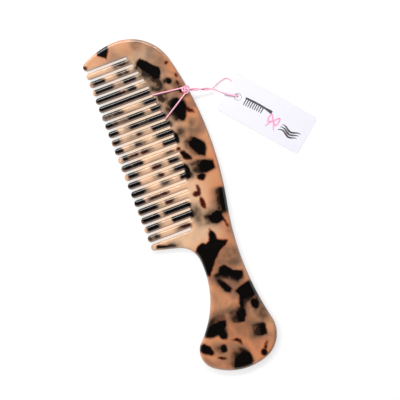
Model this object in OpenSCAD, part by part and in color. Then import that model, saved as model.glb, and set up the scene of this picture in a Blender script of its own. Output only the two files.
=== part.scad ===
// Hair comb with a swing tag.
//
// A flat handled comb cut from one sheet, with twenty teeth between two
// guards. A thin string passes through two of the slots, is knotted on the
// back and carries a punched card tag. Units are millimetres.
//
// The comb lies flat: +Y runs from the bulb of the handle to the nose, the
// teeth point towards -X, the top face looks along +Z and the underside
// rests on z = 0. Positions are worked out from the tip line (x = 0) and
// the end of the handle (y = 0), then moved so that the origin is in the
// middle of the comb's underside.

/* [Body] */
// Overall length from the end of the handle to the crown of the head
comb_length = 185; // [165:1:230]
// Width of the head from the tooth tips to the back
head_width = 50; // [42:1:62]
// Thickness of the sheet
sheet_t = 4.6; // [3.6:0.1:6]
// Thickness left at the tooth roots
root_t = 2.8; // [2.2:0.1:3]
// Thickness left at the tooth tips
tip_t = 2.3; // [1.8:0.1:2.8]
// Chamfer on the long outer edges
edge_chamfer = 0.6; // [0.3:0.1:0.9]

/* [Back and nose] */
// Radius of the long back edge
back_r = 180; // [140:5:260]
// Radius of the nose edge above the first tooth
nose_r = 43; // [36:1:54]
// Radius of the shoulder between nose and back
shoulder_r = 24.6; // [20:0.2:28]
// Distance of the widest point below the middle of the row of teeth
belly_drop = 4.7; // [0:0.1:10]
// Distance of the crown from the tip line
crown_x = 22; // [18:0.5:26]

/* [Handle] */
// Right-hand side of the bulb, measured from the tip line
bulb_right = 47.3; // [44:0.1:50]
// Left-hand side of the bulb, measured from the tip line
bulb_left = 4.5; // [2:0.1:10]
// Radius of the end of the bulb
end_r = 30; // [27:0.5:36]
// Radius of the right-hand lobe of the bulb
heel_r = 16; // [13:0.5:18]
// Radius of the left-hand lobe of the bulb
toe_r = 10; // [8:0.5:12]
// Left-hand side of the neck, measured from the tip line
neck_left = 22.3; // [18:0.1:26]
// Radius of the long hollow on the left of the handle
throat_r = 50; // [40:1:70]
// Radius of the inner corner under the last tooth
notch_r = 11.8; // [9:0.2:14]
// Radius of the long hollow on the right of the handle
waist_r = 150; // [110:5:220]

/* [Teeth] */
// Number of teeth between the two guards
tooth_count = 20; // [16:1:22]
// Spacing of the slots
slot_pitch = 4.8; // [4.2:0.05:5]
// How much wider the spacing is towards the handle
pitch_ease = 0.01; // [0:0.005:0.02]
// Width of a slot
slot_w = 1.2; // [1:0.05:1.8]
// Distance from the crown down to the middle of the top slot
crown_to_slot = 10.2; // [9:0.1:12]
// Depth of the longest slot from the tip line
slot_depth = 32.2; // [28:0.1:36]
// Radius of the line on which the slots end
root_r = 136; // [110:1:180]
// Length of tooth root that belongs to the back
root_stub = 1.5; // [1.2:0.1:2.5]
// Rounding along the edges of a tooth
tooth_round = 0.55; // [0.3:0.05:0.8]
// Width of the ground slope between the tooth roots and the back
grind_w = 11; // [8:0.5:13]
// Length of the run-out of the grinding towards the handle
runout = 13; // [8:1:18]

/* [String] */
// Diameter of the string
string_d = 0.8; // [0.6:0.05:0.9]
// Width of the knot
knot_d = 4.3; // [3.4:0.1:5]
// Height of the knot
knot_h = 2.6; // [2:0.1:3.2]
// Slot the string enters, counted from the handle
slot_in = 12; // [8:1:14]
// Number of teeth the string goes round
teeth_held = 3; // [2:1:4]
// Gap kept between parts that move against each other
move_gap = 0.3; // [0.25:0.05:0.5]

/* [Tag] */
// Length of the card
tag_l = 49; // [40:0.5:60]
// Width of the card
tag_w = 22; // [18:0.5:28]
// Thickness of the card
tag_t = 0.4; // [0.3:0.05:0.6]
// Diameter of the punched hole
tag_hole_d = 3.4; // [2.8:0.1:4.5]
// Middle of the hole from the near end of the card
tag_hole_in = 6.8; // [5:0.1:9]
// Radius of the card's corners
tag_corner_r = 1.8; // [1:0.1:3]
// Direction in which the card points, below the X axis
tag_turn = 50; // [30:1:70]
// Reach from the knot to the hole along X
tag_reach_x = 24.4; // [20:0.2:30]
// Reach from the knot to the hole, down along Y
tag_reach_y = 12.8; // [8:0.2:18]

/* [Hidden] */
$fn = 48;

// Directions and circles -------------------------------------------------
function unit(v) = v / norm(v);
function polar(c, r, a) = [c[0] + r * cos(a), c[1] + r * sin(a)];
function heading(a, b) = atan2(b[1] - a[1], b[0] - a[0]);

// Point at distance ra from a and rb from b, on the left of a -> b when
// side is 1 and on the right when it is -1
function meet(a, ra, b, rb, side) =
    let (d = norm(b - a))
    let (u = (ra * ra - rb * rb + d * d) / (2 * d))
    let (h = sqrt(ra * ra - u * u))
    let (e = (b - a) / d)
    a + u * e + side * h * [-e[1], e[0]];

// Points on a circle from angle a0 to angle a1, both ends included
function arc(c, r, a0, a1, n) =
    [for (i = [0 : n]) polar(c, r, a0 + (a1 - a0) * i / n)];

// Slots ------------------------------------------------------------------
last_slot = tooth_count;
first_slot_y = comb_length - crown_to_slot - slot_pitch * tooth_count;
function slot_y(i) = first_slot_y + slot_pitch * i + pitch_ease * i * (last_slot - i);
row_y = (slot_y(0) + slot_y(last_slot)) / 2;
root_c = [slot_depth - root_r, row_y];
function slot_end(i) =
    root_c[0] + sqrt(root_r * root_r - (slot_y(i) - row_y) * (slot_y(i) - row_y));
cut_r = root_r - root_stub;
top_edge_y = slot_y(last_slot) + slot_w / 2;
low_edge_y = slot_y(0) - slot_w / 2;

// Circles of the outline -------------------------------------------------
back_c = [head_width - back_r, row_y - belly_drop];
nose_c = [crown_x, comb_length - nose_r];
shoulder_c = meet(back_c, back_r - shoulder_r, nose_c, nose_r - shoulder_r, 1);
end_c = [(bulb_left + bulb_right) / 2 + 0.6, end_r];
heel_x = bulb_right - heel_r;
heel_c = [heel_x, end_r - sqrt(pow(end_r - heel_r, 2) - pow(heel_x - end_c[0], 2))];
toe_x = bulb_left + toe_r;
toe_c = [toe_x, end_r - sqrt(pow(end_r - toe_r, 2) - pow(toe_x - end_c[0], 2))];
waist_c = meet(heel_c, waist_r + heel_r, back_c, waist_r + back_r, -1);

// The upper guard tip touches the top slot, the tip line and the nose edge
nose_lift = top_edge_y - nose_c[1];
tip_b = 2 * (nose_lift - crown_x + nose_r);
tip_k = crown_x * crown_x + nose_lift * nose_lift - nose_r * nose_r;
upper_r = (-tip_b + sqrt(tip_b * tip_b - 4 * tip_k)) / 2;
upper_c = [upper_r, top_edge_y + upper_r];

// The lower guard tip touches the lowest slot and the tip line
lower_r = 1.7;
lower_c = [lower_r, low_edge_y - lower_r];
notch_c = [neck_left - notch_r, low_edge_y - 18];
throat_c = meet(toe_c, throat_r + toe_r, notch_c, throat_r - notch_r, 1);

// Straight edge between the lower guard tip and the inner corner: it
// touches the tip circle from below and the corner circle from above
edge_d = norm(notch_c - lower_c);
edge_a = heading(lower_c, notch_c) + asin((lower_r + notch_r) / edge_d);
low_touch = edge_a - 90;

// Outline at an inset, counter-clockwise from the end of the handle
function outline(d) =
    let (a_heel = heading(end_c, heel_c))
    let (a_waist = heading(heel_c, waist_c))
    let (a_back = heading(back_c, waist_c))
    let (a_shoulder = heading(back_c, shoulder_c))
    let (a_nose = heading(nose_c, shoulder_c))
    let (a_upper = heading(nose_c, upper_c))
    let (a_notch = heading(throat_c, notch_c))
    let (a_throat = heading(throat_c, toe_c))
    let (a_toe = heading(end_c, toe_c))
    concat(
        arc(end_c, end_r - d, a_toe, a_heel, 8),
        arc(heel_c, heel_r - d, a_heel, a_waist, 12),
        arc(waist_c, waist_r + d, 180 + a_waist, 180 + a_back, 16),
        arc(back_c, back_r - d, a_back, a_shoulder, 30),
        arc(shoulder_c, shoulder_r - d, a_shoulder, a_nose, 14),
        arc(nose_c, nose_r - d, a_nose, a_upper, 10),
        arc(upper_c, upper_r - d, a_upper, 180, 4),
        arc(lower_c, lower_r - d, 180, 360 + low_touch, 6),
        arc(notch_c, notch_r + d, 180 + low_touch, a_notch, 10),
        arc(throat_c, throat_r + d, a_notch, a_throat, 16),
        arc(toe_c, toe_r - d, 180 + a_throat, 360 + a_toe, 10)
    );

// Solid shapes -----------------------------------------------------------
// Prism between rings of points, one ring per height, all of one length
module stack(rings) {
    n = len(rings[0]);
    m = len(rings);
    polyhedron(
        points = [for (r = rings) each r],
        faces = concat(
            [[for (i = [0 : n - 1]) i]],
            [[for (i = [0 : n - 1]) (m - 1) * n + n - 1 - i]],
            [for (k = [0 : m - 2]) for (i = [0 : n - 1])
                [k * n + i, (k + 1) * n + i, (k + 1) * n + (i + 1) % n, k * n + (i + 1) % n]]
        )
    );
}

function raised(points, z) = [for (p = points) [p[0], p[1], z]];

// The whole sheet with chamfered edges, before slots and grinding
module blank() {
    c = edge_chamfer;
    stack([
        raised(outline(c), 0),
        raised(outline(0), c),
        raised(outline(0), sheet_t - c),
        raised(outline(c), sheet_t)
    ]);
}

// Depth ground off each face at the roots and at the tips
root_cut = (sheet_t - root_t) / 2;
tip_cut = (sheet_t - tip_t) / 2;
root_x = slot_depth - 1;
grind_a = atan((tip_cut - root_cut) / root_x);
run_y = low_edge_y - runout;

// What the grinding takes off the underside of the head
module ground_off() {
    intersection() {
        translate([0, comb_length + 10, 0]) rotate([90, 0, 0])
            linear_extrude(height = comb_length)
                polygon([
                    [-5, -1], [root_x + grind_w, -1], [root_x + grind_w, 0],
                    [root_x, root_cut], [-5, root_cut + (root_x + 5) * tan(grind_a)]
                ]);
        translate([-5, 0, 0]) rotate([90, 0, 90])
            linear_extrude(height = head_width + 10)
                polygon([
                    [run_y, -1], [run_y, 0], [run_y + runout, tip_cut + 0.4],
                    [comb_length + 5, tip_cut + 0.4], [comb_length + 5, -1]
                ]);
    }
}

module grind() {
    difference() {
        children();
        ground_off();
        translate([0, 0, sheet_t]) mirror([0, 0, 1]) ground_off();
    }
}

// Round-ended slot, cut through the full thickness
module slot(i) {
    r = slot_w / 2;
    x = slot_end(i) - r;
    translate([x, slot_y(i), -1]) cylinder(r = r, h = sheet_t + 2);
    translate([0, slot_y(i) - r, -1]) cube([x, slot_w, sheet_t + 2]);
}

// Everything between the tip line and the tooth roots
module tooth_zone() {
    translate([root_c[0], root_c[1], -1]) cylinder(r = cut_r, h = sheet_t + 2, $fn = 360);
}

// Straight band across the part between two heights of y
module band(y0, y1) {
    translate([-10, y0, -1]) cube([head_width + 20, y1 - y0, sheet_t + 2]);
}

handle_y = low_edge_y - 12;
guard_x = 12;

// Comb -------------------------------------------------------------------
module spine() {
    color("tan") grind() difference() {
        intersection() {
            blank();
            band(handle_y, comb_length + 5);
        }
        difference() {
            tooth_zone();
            band(handle_y - 5, low_edge_y);
        }
        translate([-10, handle_y - 1, -1]) cube([guard_x + 10, low_edge_y - handle_y + 1, sheet_t + 2]);
        for (i = [0 : last_slot]) slot(i);
    }
}

module nose_guard() {
    color("tan") grind() intersection() {
        blank();
        band(top_edge_y, comb_length + 5);
        tooth_zone();
    }
}

module heel_guard() {
    color("tan") grind() intersection() {
        blank();
        translate([-10, handle_y, -1]) cube([guard_x + 10, low_edge_y - handle_y, sheet_t + 2]);
    }
}

module handle() {
    color("tan") difference() {
        blank();
        band(handle_y, comb_length + 5);
    }
}

// Section of a tooth seen from its tip: square below, rounded above
module half_section(w) {
    r = tooth_round;
    translate([-w / 2, -3]) square([w, 3 + root_t / 2 - r]);
    translate([-w / 2 + r, -3]) square([w - 2 * r, 3 + root_t / 2]);
    for (s = [-1, 1]) translate([s * (w / 2 - r), root_t / 2 - r]) circle(r = r, $fn = 32);
}

// Upper half of the grinding applied to a long rounded bar
module ground_bar(w) {
    translate([root_x, 0, 0]) rotate([0, 0, 180]) rotate([0, grind_a, 0])
        translate([-8, 0, 0]) rotate([90, 0, 90])
            linear_extrude(height = root_x + 16) half_section(w);
}

module tooth(i) {
    y0 = slot_y(i) + slot_w / 2;
    y1 = slot_y(i + 1) - slot_w / 2;
    w = y1 - y0;
    translate([0, (y0 + y1) / 2, 0]) intersection() {
        translate([0, 0, sheet_t / 2]) ground_bar(w);
        translate([0, 0, sheet_t / 2]) mirror([0, 0, 1]) ground_bar(w);
        union() {
            translate([w / 2, 0, -1]) cylinder(d = w, h = sheet_t + 2);
            translate([w / 2, -w / 2, -1]) cube([slot_depth, w, sheet_t + 2]);
        }
        translate([0, -(y0 + y1) / 2, 0]) tooth_zone();
    }
}

module teeth() {
    color("tan") for (i = [0 : tooth_count - 1]) tooth(i);
}

// String -----------------------------------------------------------------
function corner(p0, p1, p2, cut, n) =
    let (ca = min(cut, 0.48 * norm(p0 - p1)), cb = min(cut, 0.48 * norm(p2 - p1)))
    let (a = p1 + unit(p0 - p1) * ca, b = p1 + unit(p2 - p1) * cb)
    [for (i = [0 : n]) let (t = i / n) (1 - t) * (1 - t) * a + 2 * t * (1 - t) * p1 + t * t * b];

// Polyline with its inner corners rounded
function eased(p, cut, n) = concat(
    [p[0]],
    [for (i = [1 : len(p) - 2]) each corner(p[i - 1], p[i], p[i + 1], cut, n)],
    [p[len(p) - 1]]
);

function tangents(p) =
    [for (i = [0 : len(p) - 1]) unit(p[min(i + 1, len(p) - 1)] - p[max(i - 1, 0)])];

// Side directions carried along the path without twisting
function carried(t, start) =
    [for (i = 0, n = unit(start - (start * t[0]) * t[0]); i < len(t);
        i = i + 1, n = i < len(t) ? unit(n - (n * t[i]) * t[i]) : n) n];

module tube(p, start) {
    t = tangents(p);
    n = carried(t, start);
    stack([for (i = [0 : len(p) - 1])
        [for (j = [0 : 7]) let (a = -j * 45 - 22.5)
            p[i] + string_d / 2 * (cos(a) * n[i] + sin(a) * cross(t[i], n[i]))]]);
}

// Where the string leaves the two slots
function held_x(i) = slot_end(i) - string_d / 2 - 0.1;
low_pin = [held_x(slot_in), slot_y(slot_in)];
high_pin = [held_x(slot_in + teeth_held), slot_y(slot_in + teeth_held)];
face_z = sheet_t - root_cut;
under_z = string_d / 2 + 0.05;
wrap_top = face_z - string_d / 2 - move_gap;
knot_c = [
    head_width - 3.3,
    (low_pin[1] + high_pin[1]) / 2 + 3.5,
    sheet_t + knot_h / 2 + 0.05
];

module string_wrap() {
    color("pink") tube(eased([
        [high_pin[0], high_pin[1], wrap_top],
        [high_pin[0], high_pin[1], under_z],
        [low_pin[0], low_pin[1], under_z],
        [low_pin[0], low_pin[1], wrap_top]
    ], 0.9, 4), [1, 0, 0]);
}

// One strand from a slot across the back to the knot. It meets the knot on
// its upper side (side = 1) or its lower side (side = -1).
module strand(pin, side) {
    lift = string_d / 2 + 0.08;
    centre = [knot_c[0] - pin[0], knot_c[1] - pin[1]];
    to = unit(centre + [-0.3, side * (knot_d / 2 - string_d)]);
    miss = max(abs(centre[0] * to[1] - centre[1] * to[0]) - string_d / 2, 0);
    reach = centre * to - sqrt(knot_d * knot_d / 4 - miss * miss) - 0.02;
    slope = (root_x + grind_w - pin[0]) / to[0];
    tube(eased([
        [pin[0], pin[1], face_z],
        [pin[0] + 0.8 * to[0], pin[1] + 0.8 * to[1], face_z + lift + 0.15],
        [pin[0] + slope * to[0], pin[1] + slope * to[1], sheet_t + lift],
        [pin[0] + reach * to[0], pin[1] + reach * to[1], knot_c[2]]
    ], 1.6, 4), [0, 0, 1]);
}

module string_strands() {
    color("pink") {
        strand(low_pin, -1);
        strand(high_pin, 1);
    }
}

module knot() {
    r = knot_h / 2;
    color("hotpink") translate(knot_c) rotate_extrude($fn = 64) {
        translate([0, -r]) square([knot_d / 2 - r, knot_h]);
        intersection() {
            translate([knot_d / 2 - r, 0]) circle(r = r);
            translate([0, -r]) square([knot_d, knot_h]);
        }
    }
}

// Tag --------------------------------------------------------------------
hole_c = [knot_c[0] + tag_reach_x, knot_c[1] - tag_reach_y];
far_u = tag_l - tag_hole_in;
near_z = string_d + 0.05 + 1.7 * move_gap;
lean = atan((near_z - 0.02) / tag_l);
hole_z = 0.02 + far_u * tan(lean);

// Point over the card: u along it from the hole, v across it, z absolute
function over(u, v, z) = [
    hole_c[0] + u * cos(tag_turn) + v * sin(tag_turn),
    hole_c[1] - u * sin(tag_turn) + v * cos(tag_turn),
    z
];

// Height of a strand that clears the top of the card at distance u
function above(u) = hole_z + u * tan(lean) + tag_t + 1.4 * move_gap + string_d / 2;

split_c = over(-13.7, -3, 0);
neck_dir = unit([split_c[0] - knot_c[0], split_c[1] - knot_c[1]]);
function neck(r, z) = [knot_c[0] + r * neck_dir[0], knot_c[1] + r * neck_dir[1], z];

module tag_loop() {
    start = knot_d / 2 + move_gap;
    half = string_d / 2 + 0.05;
    fork = above(13.7);
    over_start = neck(start, knot_c[2] + half);
    under_start = neck(start, knot_c[2] - half);
    color("pink") tube(eased([
        over_start,
        neck(start + 1.2, knot_c[2] + half - 0.1),
        [split_c[0], split_c[1], fork],
        over(-6.5, -2, above(7)),
        over(-1.8, -0.4, above(3)),
        over(0, 0, above(1)),
        over(0, 0, under_z),
        over(-6.5, 5.6, under_z),
        over(-10.2, 6.4, under_z),
        over(-12.6, 2.4, under_z),
        [split_c[0], split_c[1], fork - 2.4 * half],
        neck(start + 1.2, knot_c[2] - half - 0.1),
        under_start
    ], 1.8, 4), [0, 0, 1]);
}

module swing_tag() {
    r = tag_corner_r;
    color("white") translate([hole_c[0], hole_c[1], hole_z]) rotate([0, 0, -tag_turn])
        rotate([0, lean, 0]) linear_extrude(height = tag_t) difference() {
            union() {
                translate([-tag_hole_in + r, -tag_w / 2]) square([tag_l - 2 * r, tag_w]);
                translate([-tag_hole_in, -tag_w / 2 + r]) square([tag_l, tag_w - 2 * r]);
                for (x = [-tag_hole_in + r, far_u - r]) for (y = [-1, 1])
                    translate([x, y * (tag_w / 2 - r)]) circle(r = r);
            }
            circle(d = tag_hole_d);
        }
}

// The origin is in the middle of the comb's underside
module placed() {
    translate([-head_width / 2, -comb_length / 2, 0]) children();
}

placed() spine();
placed() nose_guard();
placed() heel_guard();
placed() teeth();
placed() handle();
placed() string_wrap();
placed() string_strands();
placed() knot();
placed() tag_loop();
placed() swing_tag();
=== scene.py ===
"""Hair comb with a swing tag: its visible surfaces, finishes, light and camera.

Shapes are worked out in comb millimetres: x from the line of the tooth tips,
y from the end of the handle and z from the surface that the comb lies on.
`placed` turns them into metres in the shared frame.
"""

import logging  # noqa: E402
import math  # noqa: E402
from dataclasses import dataclass, field, replace  # noqa: E402
from enum import Enum  # noqa: E402

import bpy  # noqa: E402
import numpy as np  # noqa: E402
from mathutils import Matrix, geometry  # noqa: E402


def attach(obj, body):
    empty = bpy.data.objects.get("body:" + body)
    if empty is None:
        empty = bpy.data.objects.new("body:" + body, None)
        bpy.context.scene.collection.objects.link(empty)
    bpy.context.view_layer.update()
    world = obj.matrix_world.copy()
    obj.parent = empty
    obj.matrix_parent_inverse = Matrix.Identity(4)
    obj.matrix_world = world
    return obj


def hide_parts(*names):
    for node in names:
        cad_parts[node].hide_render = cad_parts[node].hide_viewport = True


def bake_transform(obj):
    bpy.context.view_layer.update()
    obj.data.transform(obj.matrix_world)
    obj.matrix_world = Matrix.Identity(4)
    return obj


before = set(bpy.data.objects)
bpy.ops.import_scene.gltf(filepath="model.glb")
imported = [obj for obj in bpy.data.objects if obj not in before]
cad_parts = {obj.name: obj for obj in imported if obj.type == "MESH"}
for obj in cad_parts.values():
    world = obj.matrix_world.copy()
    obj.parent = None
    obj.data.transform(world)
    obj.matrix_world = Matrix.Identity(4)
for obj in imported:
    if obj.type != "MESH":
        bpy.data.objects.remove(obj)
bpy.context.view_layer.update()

Array = np.ndarray
Colour = tuple[float, float, float, float]
Corners = tuple[tuple[float, float], ...]

log = logging.getLogger("hair_comb")

MM = 0.001
ORIGIN = np.array([25.0, 92.5, 0.0])


# Small helpers ---------------------------------------------------------------
def placed(points: Array) -> Array:
    """Metres in the shared frame from comb millimetres: (point - origin) / 1000."""
    return (np.asarray(points, float) - ORIGIN) * MM


def srgb(red: float, green: float, blue: float) -> Colour:
    """A screen colour of 0 to 255 as a linear colour.

    Args:
        red: Red part, 0 to 255.
        green: Green part, 0 to 255.
        blue: Blue part, 0 to 255.

    Returns:
        Linear red, green and blue with full alpha: each part is
        ((c / 255 + 0.055) / 1.055) to the power 2.4.
    """
    parts = (np.array([red, green, blue]) / 255 + 0.055) / 1.055
    return (*(float(p) for p in parts**2.4), 1.0)


def unit(vector: Array) -> Array:
    """The vector, or each row of vectors, divided by its length."""
    return vector / np.linalg.norm(vector, axis=-1, keepdims=True)


def ease(low: float, high: float, value: Array) -> Array:
    """Smooth step: t = clip((value - low) / (high - low)), then 3t^2 - 2t^3."""
    t = np.clip((value - low) / (high - low), 0, 1)
    return t * t * (3 - 2 * t)


def soft_min(a: Array, b: Array, width: float) -> Array:
    """The lesser of a and b, with the corner between them rounded.

    Args:
        a: First values.
        b: Second values.
        width: Difference between them over which the corner is rounded.

    Returns:
        min(a, b) - h^2 * width / 4, where h = max(width - |a - b|, 0) / width.
    """
    h = np.maximum(width - np.abs(a - b), 0) / width
    return np.minimum(a, b) - h * h * width / 4


def heading(a: Array, b: Array) -> float:
    """Angle in degrees of the direction from a to b."""
    return math.degrees(math.atan2(b[1] - a[1], b[0] - a[0]))


def linked(name: str, data: bpy.types.ID) -> bpy.types.Object:
    """A new object with the given data, in the scene."""
    made = bpy.data.objects.new(name, data)
    bpy.context.scene.collection.objects.link(made)
    return made


def new_piece(
    name: str, points: Array, faces: list, attributes: dict[str, Array] | None = None
) -> bpy.types.Object:
    """A mesh piece in the shared frame.

    Args:
        name: Name of the piece.
        points: Points in comb millimetres, one row each.
        faces: Corner numbers of each face, counter-clockwise from outside.
        attributes: One value for each point, by name.

    Returns:
        The piece, at the origin, with its place in its mesh.
    """
    mesh = bpy.data.meshes.new(name)
    mesh.from_pydata(placed(points).tolist(), [], faces)
    mesh.shade_smooth()
    for key, values in (attributes or {}).items():
        layer = mesh.attributes.new(key, "FLOAT", "POINT")
        layer.data.foreach_set("value", np.asarray(values, np.float32))
    mesh.update()
    return linked(name, mesh)


def grid_faces(rows: int, columns: int, start: int = 0, wrap: bool = True) -> Array:
    """Quads of a grid of points that are numbered row by row.

    Args:
        rows: Number of rows.
        columns: Number of points in a row.
        start: Number of the first point.
        wrap: Whether the last column joins the first.

    Returns:
        One row of four corner numbers for each quad.
    """
    i, j = np.meshgrid(np.arange(rows - 1), np.arange(columns - (not wrap)), indexing="ij")
    i, j = i.ravel(), j.ravel()
    k = (j + 1) % columns
    quads = [i * columns + j, i * columns + k, (i + 1) * columns + k, (i + 1) * columns + j]
    return np.stack(quads, axis=1) + start


# Materials -------------------------------------------------------------------
class Graph:
    """The nodes of one material, around a single glossy shader."""

    def __init__(self, name: str) -> None:
        """Starts a material with its shader and output.

        Args:
            name: Name of the material.
        """
        self.material = bpy.data.materials.new(name)
        self.material.use_nodes = True
        self.tree = self.material.node_tree
        self.tree.nodes.clear()
        self.shader = self.tree.nodes.new("ShaderNodeBsdfPrincipled")
        output = self.tree.nodes.new("ShaderNodeOutputMaterial")
        self.tree.links.new(self.shader.outputs[0], output.inputs["Surface"])

    def add(self, kind: str, sockets: dict | None = None, **settings: object) -> bpy.types.Node:
        """Adds a node.

        Args:
            kind: Node type, without its leading ShaderNode.
            sockets: Value or linked socket for each input, by name or number.
            **settings: Properties of the node.

        Returns:
            The new node.
        """
        node = self.tree.nodes.new("ShaderNode" + kind)
        for key, value in settings.items():
            setattr(node, key, value)
        for key, value in (sockets or {}).items():
            self.feed(node.inputs[key], value)
        return node

    def feed(self, socket: bpy.types.NodeSocket, value: object) -> None:
        """Links a socket to another, or sets its own value."""
        if isinstance(value, bpy.types.NodeSocket):
            self.tree.links.new(value, socket)
        else:
            socket.default_value = value

    def place(self) -> bpy.types.NodeSocket:
        """Object coordinates, in metres in the shared frame."""
        return self.add("TexCoord").outputs["Object"]

    def value(self, name: str) -> bpy.types.NodeSocket:
        """The named attribute of the piece as a number."""
        return self.add("Attribute", attribute_name=name).outputs["Fac"]

    def noise(
        self, scale: float, detail: float = 2.0, rough: float = 0.5, warp: float = 0.0
    ) -> bpy.types.NodeSocket:
        """Cloudy values around a half.

        Args:
            scale: Clouds in a metre.
            detail: Number of finer layers.
            rough: Weight of the finer layers.
            warp: How far the clouds are bent.

        Returns:
            The value's socket.
        """
        sockets = {
            "Vector": self.place(),
            "Scale": scale,
            "Detail": detail,
            "Roughness": rough,
            "Distortion": warp,
        }
        return self.add("TexNoise", sockets).outputs["Fac"]

    def sum(self, operation: str, a: object, b: object, clamp: bool = False) -> bpy.types.NodeSocket:
        """One step of arithmetic between two numbers or sockets."""
        return self.add("Math", {0: a, 1: b}, operation=operation, use_clamp=clamp).outputs[0]

    def times(self, *factors: object) -> bpy.types.NodeSocket:
        """Product of two or more numbers or sockets."""
        product = factors[0]
        for factor in factors[1:]:
            product = self.sum("MULTIPLY", product, factor)
        return product

    def ramp(
        self,
        value: bpy.types.NodeSocket,
        low: float,
        high: float,
        start: float = 0.0,
        end: float = 1.0,
    ) -> bpy.types.NodeSocket:
        """Smooth change from start to end while the value goes from low to high.

        Args:
            value: The value.
            low: Where the change begins.
            high: Where it ends, which may be the lesser of the two.
            start: Result at low.
            end: Result at high.

        Returns:
            The result's socket.
        """
        sockets = {"Value": value, "From Min": low, "From Max": high, "To Min": start, "To Max": end}
        return self.add("MapRange", sockets, interpolation_type="SMOOTHSTEP").outputs[0]

    def mix(self, share: object, a: object, b: object) -> bpy.types.NodeSocket:
        """Colour a with a share of colour b over it.

        The node's colour sockets are inputs 6 and 7 and output 2.

        Args:
            share: Share of b, 0 to 1.
            a: First colour.
            b: Second colour.

        Returns:
            The mixed colour's socket.
        """
        node = self.add("Mix", data_type="RGBA")
        self.feed(node.inputs[0], share)
        self.feed(node.inputs[6], a)
        self.feed(node.inputs[7], b)
        return node.outputs[2]

    def bump(self, height: bpy.types.NodeSocket, strength: float, depth: float) -> None:
        """Gives the shader a relief.

        Args:
            height: Height between 0 and 1.
            strength: Share of the relief that shows.
            depth: Height of 1, in metres.
        """
        node = self.add("Bump", {"Height": height, "Strength": strength, "Distance": depth})
        self.tree.links.new(node.outputs[0], self.shader.inputs["Normal"])

    def finish(self, colour: object, **constants: object) -> bpy.types.Material:
        """Sets the shader's colour and its constant inputs.

        Args:
            colour: Colour or socket.
            **constants: Values of the shader's inputs, with _ for a space.

        Returns:
            The material.
        """
        self.feed(self.shader.inputs["Base Color"], colour)
        for key, value in constants.items():
            self.feed(self.shader.inputs[key.replace("_", " ")], value)
        return self.material


@dataclass(frozen=True)
class Acetate:
    """Polished marbled acetate: honey sheet, dark chips, smoky haze between, with painted light
    coming through its thin parts and edges and painted shade on some edges.
    """

    honey: Colour = srgb(202, 146, 108)
    peach: Colour = srgb(204, 132, 90)
    rosy: Colour = srgb(140, 100, 80)
    cream: Colour = srgb(226, 192, 158)
    smoke: Colour = srgb(84, 66, 56)
    olive: Colour = srgb(76, 70, 60)
    dusk: Colour = srgb(26, 17, 14)
    rust: Colour = srgb(132, 58, 30)
    ember: Colour = srgb(58, 19, 10)
    night: Colour = srgb(8, 4, 3)
    painted_glint: Colour = srgb(206, 176, 160)

    def material(self) -> bpy.types.Material:
        """Builds the finish.

        Returns:
            A material that reads the piece's chip, haze, ember, edge, thin and through values; edge,
            thin and through paint light that comes through the sheet, and haze also paints shade on
            some edges.
        """
        g = Graph("acetate_marbled")
        sheet = g.mix(g.ramp(g.noise(48, 2), 0.36, 0.64), self.honey, self.peach)
        smear = g.ramp(g.noise(62, 3, warp=0.8), 0.44, 0.68, 0.08, 0.85)
        sheet = g.mix(smear, sheet, self.rosy)
        # Painted light coming through the sheet: paler near the edges and where it is thin
        pale = g.sum("ADD", g.ramp(g.value("edge"), 0.25, 1.0, 0, 0.12), g.value("thin"), clamp=True)
        sheet = g.mix(pale, sheet, self.cream)
        # The haze carries smoke in the sheet and also painted shade along the teeth's upper edges
        # and the back's outer edge
        smoke = g.mix(g.ramp(g.noise(130, 2), 0.4, 0.62), self.smoke, self.olive)
        smoke = g.mix(g.ramp(g.value("haze"), 0.55, 0.95), smoke, self.dusk)
        cloud = g.times(g.ramp(g.noise(260, 3), 0.25, 0.7, 0.7, 1.15), g.value("haze"))
        sheet = g.mix(g.sum("MINIMUM", cloud, 0.97), sheet, smoke)
        ragged = g.times(g.sum("SUBTRACT", g.noise(420, 3, 0.6), 0.5), 1.5)
        edge = g.sum("ADD", g.value("chip"), ragged)
        fringe = g.times(g.ramp(edge, 1.0, -0.15), g.ramp(g.value("haze"), 0.3, 0.8, 0.8, 0))
        sheet = g.mix(fringe, sheet, self.rust)
        core = g.mix(g.value("ember"), self.night, self.ember)
        colour = g.mix(g.ramp(edge, 0.5, -0.5), sheet, core)
        # Painted highlight: light coming through the lower edges of the teeth
        colour = g.mix(g.times(g.value("through"), 0.8), colour, self.painted_glint)
        polish = g.sum("ADD", g.noise(900, 3), g.noise(160, 1))
        g.bump(polish, 0.12, 0.00002)
        satin = g.times(
            g.ramp(g.value("edge"), 0.05, 0.7, 0, 0.3), g.ramp(g.value("thin"), 0.4, 0.1)
        )
        gloss = g.ramp(g.noise(210, 4), 0.3, 0.75, 0.1, 0.18)
        return g.finish(
            colour,
            Roughness=g.sum("ADD", gloss, satin),
            IOR=1.49,
            Coat_Weight=0.6,
            Coat_Roughness=g.sum("ADD", satin, 0.05),
            Subsurface_Weight=0.08,
            Subsurface_Radius=(1.0, 0.5, 0.25),
            Subsurface_Scale=0.0015,
        )


@dataclass(frozen=True)
class Twine:
    """Thin pink three-ply twine, with painted shade darkening it between its plies."""

    ply: Colour = srgb(250, 186, 206)
    groove_shade: Colour = srgb(226, 128, 162)

    def material(self) -> bpy.types.Material:
        """Builds the finish.

        Returns:
            A material that reads the piece's groove value.
        """
        g = Graph("twine_pink")
        # Painted shade in the grooves between the plies
        depth = g.times(g.ramp(g.noise(2600, 2), 0.3, 0.7, 0.7, 1.1), g.value("groove_shade"))
        colour = g.mix(depth, self.ply, self.groove_shade)
        g.bump(g.noise(7000, 2), 0.35, 0.00004)
        return g.finish(colour, Roughness=0.72, Sheen_Weight=0.35, Sheen_Roughness=0.5, IOR=1.45)


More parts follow.
